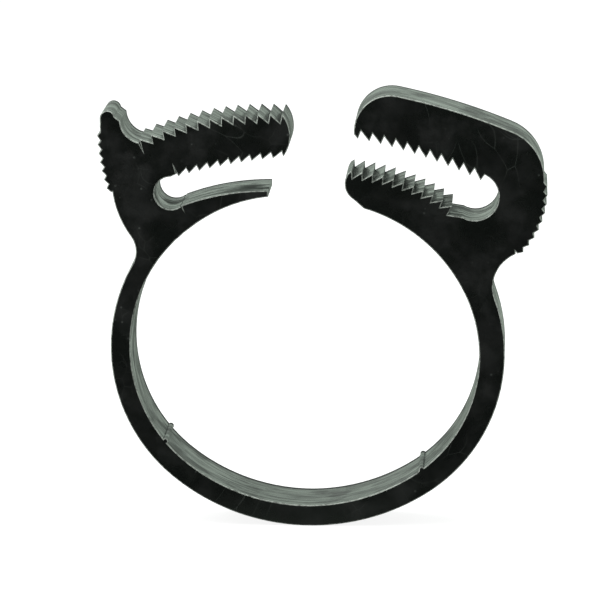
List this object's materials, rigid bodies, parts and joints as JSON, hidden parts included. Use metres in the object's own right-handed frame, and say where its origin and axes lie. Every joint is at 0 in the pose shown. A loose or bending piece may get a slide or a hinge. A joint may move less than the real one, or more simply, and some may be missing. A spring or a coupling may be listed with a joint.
{
  "type": "ratchet hose clamp",
  "caption": "Moulded nylon hose clamp: a springy hoop with a toothed tongue on one head and toothed jaws on the other that ratchet shut round a hose.",
  "frame": {"origin": "middle of the open hoop, half way through the width", "axes": "+Y along the hose's axis through the hoop, +Z from the hoop's bottom up to the opening between the heads, +X from the tongue's head to the jaws' head"},
  "size_m": [0.0449, 0.0086, 0.0437],
  "materials": {
    "nylon": "moulded black nylon, satin with light scuffs"
  },
  "bodies": {
    "band_bottom": {"band_bottom": "nylon"},
    "band_left_1": {"band_left_1": "nylon"},
    "band_left_2": {"band_left_2": "nylon"},
    "band_left_3": {"band_left_3": "nylon"},
    "band_left_4": {"band_left_4": "nylon"},
    "band_left_5": {"band_left_5": "nylon"},
    "band_left_6": {"band_left_6": "nylon"},
    "band_right_1": {"band_right_1": "nylon"},
    "band_right_2": {"band_right_2": "nylon"},
    "band_right_3": {"band_right_3": "nylon"},
    "band_right_4": {"band_right_4": "nylon"},
    "band_right_5": {"band_right_5": "nylon"},
    "band_right_6": {"band_right_6": "nylon"},
    "left_head": {"left_head": "nylon", "left_hook": "nylon", "left_grip_ribs": "nylon", "tongue": "nylon", "tongue_outer_teeth": "nylon", "tongue_inner_teeth": "nylon"},
    "guard_strip": {"guard_strip": "nylon"},
    "right_head": {"right_head": "nylon", "right_grip_ribs": "nylon", "lower_jaw": "nylon", "lower_jaw_teeth": "nylon"},
    "upper_jaw": {"upper_jaw": "nylon", "upper_jaw_teeth": "nylon"}
  },
  "joints": [
    {"name": "side_release", "type": "hinge", "parent": "band_bottom", "child": "band_left_1", "pos_m": [-0.0017, 0, -0.0188], "axis": [1, 0, 0], "range_deg": [-10.5, 10.5], "stiffness_Nm_per_rad": 1},
    {"name": "side_release_right", "type": "hinge", "parent": "band_bottom", "child": "band_right_1", "pos_m": [0.0017, 0, -0.0188], "axis": [1, 0, 0], "range_deg": [-10.5, 10.5], "stiffness_Nm_per_rad": 1},
    {"name": "close", "type": "hinge", "parent": "band_left_1", "child": "band_left_2", "pos_m": [-0.00681, 0, -0.01764], "axis": [0, 1, 0], "range_deg": [0, 6.48], "stiffness_Nm_per_rad": 0.01, "deforming": ["tongue_outer_teeth", "tongue_inner_teeth", "upper_jaw_teeth", "lower_jaw_teeth"]},
    {"name": "bend_left_2", "type": "hinge", "parent": "band_left_2", "child": "band_left_3", "pos_m": [-0.01148, 0, -0.0153], "axis": [0, 1, 0], "range_deg": [0, 5.58], "stiffness_Nm_per_rad": 0.01},
    {"name": "bend_left_3", "type": "hinge", "parent": "band_left_3", "child": "band_left_4", "pos_m": [-0.01536, 0, -0.01181], "axis": [0, 1, 0], "range_deg": [0, 4.37], "stiffness_Nm_per_rad": 0.01},
    {"name": "bend_left_4", "type": "hinge", "parent": "band_left_4", "child": "band_left_5", "pos_m": [-0.01793, 0, -0.00728], "axis": [0, 1, 0], "range_deg": [0, 3.02], "stiffness_Nm_per_rad": 0.01},
    {"name": "bend_left_5", "type": "hinge", "parent": "band_left_5", "child": "band_left_6", "pos_m": [-0.01893, 0, -0.00216], "axis": [0, 1, 0], "range_deg": [0, 1.79], "stiffness_Nm_per_rad": 0.01},
    {"name": "bend_left_6", "type": "hinge", "parent": "band_left_6", "child": "left_head", "pos_m": [-0.01823, 0, 0.00301], "axis": [0, 1, 0], "range_deg": [0, 0.87], "stiffness_Nm_per_rad": 0.01},
    {"name": "bend_right_1", "type": "hinge", "parent": "band_right_1", "child": "band_right_2", "pos_m": [0.00624, 0, -0.01783], "axis": [0, -1, 0], "range_deg": [0, 3.04], "stiffness_Nm_per_rad": 0.01},
    {"name": "bend_right_2", "type": "hinge", "parent": "band_right_2", "child": "band_right_3", "pos_m": [0.01047, 0, -0.01594], "axis": [0, -1, 0], "range_deg": [0, 2.7], "stiffness_Nm_per_rad": 0.01},
    {"name": "bend_right_3", "type": "hinge", "parent": "band_right_3", "child": "band_right_4", "pos_m": [0.0141, 0, -0.01307], "axis": [0, -1, 0], "range_deg": [0, 2.22], "stiffness_Nm_per_rad": 0.01},
    {"name": "bend_right_4", "type": "hinge", "parent": "band_right_4", "child": "band_right_5", "pos_m": [0.01673, 0, -0.00926], "axis": [0, -1, 0], "range_deg": [0, 1.66], "stiffness_Nm_per_rad": 0.01},
    {"name": "bend_right_5", "type": "hinge", "parent": "band_right_5", "child": "band_right_6", "pos_m": [0.01813, 0, -0.00485], "axis": [0, -1, 0], "range_deg": [0, 1.11], "stiffness_Nm_per_rad": 0.01},
    {"name": "bend_right_6", "type": "hinge", "parent": "band_right_6", "child": "right_head", "pos_m": [0.01817, 0, -0.00022], "axis": [0, -1, 0], "range_deg": [0, 0.65], "stiffness_Nm_per_rad": 0.01},
    {"name": "upper_jaw_spring", "type": "hinge", "parent": "right_head", "child": "upper_jaw", "pos_m": [0.0208, 0, 0.01623], "axis": [0, 1, 0], "range_deg": [0, 3], "stiffness_Nm_per_rad": 12},
    {"name": "guard_spring", "type": "hinge", "parent": "left_head", "child": "guard_strip", "pos_m": [-0.0122, 0, 0.01162], "axis": [0, 1, 0], "range_deg": [0, 3], "stiffness_Nm_per_rad": 2}
  ],
  "couplings": [
    {"joint": "side_release_right", "follows": "side_release", "ratio": -1},
    {"joint": "bend_left_2", "follows": "close", "ratio": 0.8611},
    {"joint": "bend_left_3", "follows": "close", "ratio": 0.6743},
    {"joint": "bend_left_4", "follows": "close", "ratio": 0.466},
    {"joint": "bend_left_5", "follows": "close", "ratio": 0.2762},
    {"joint": "bend_left_6", "follows": "close", "ratio": 0.1342},
    {"joint": "bend_right_1", "follows": "close", "ratio": 0.4691},
    {"joint": "bend_right_2", "follows": "close", "ratio": 0.4166},
    {"joint": "bend_right_3", "follows": "close", "ratio": 0.3425},
    {"joint": "bend_right_4", "follows": "close", "ratio": 0.2561},
    {"joint": "bend_right_5", "follows": "close", "ratio": 0.1712},
    {"joint": "bend_right_6", "follows": "close", "ratio": 0.1003}
  ]
}
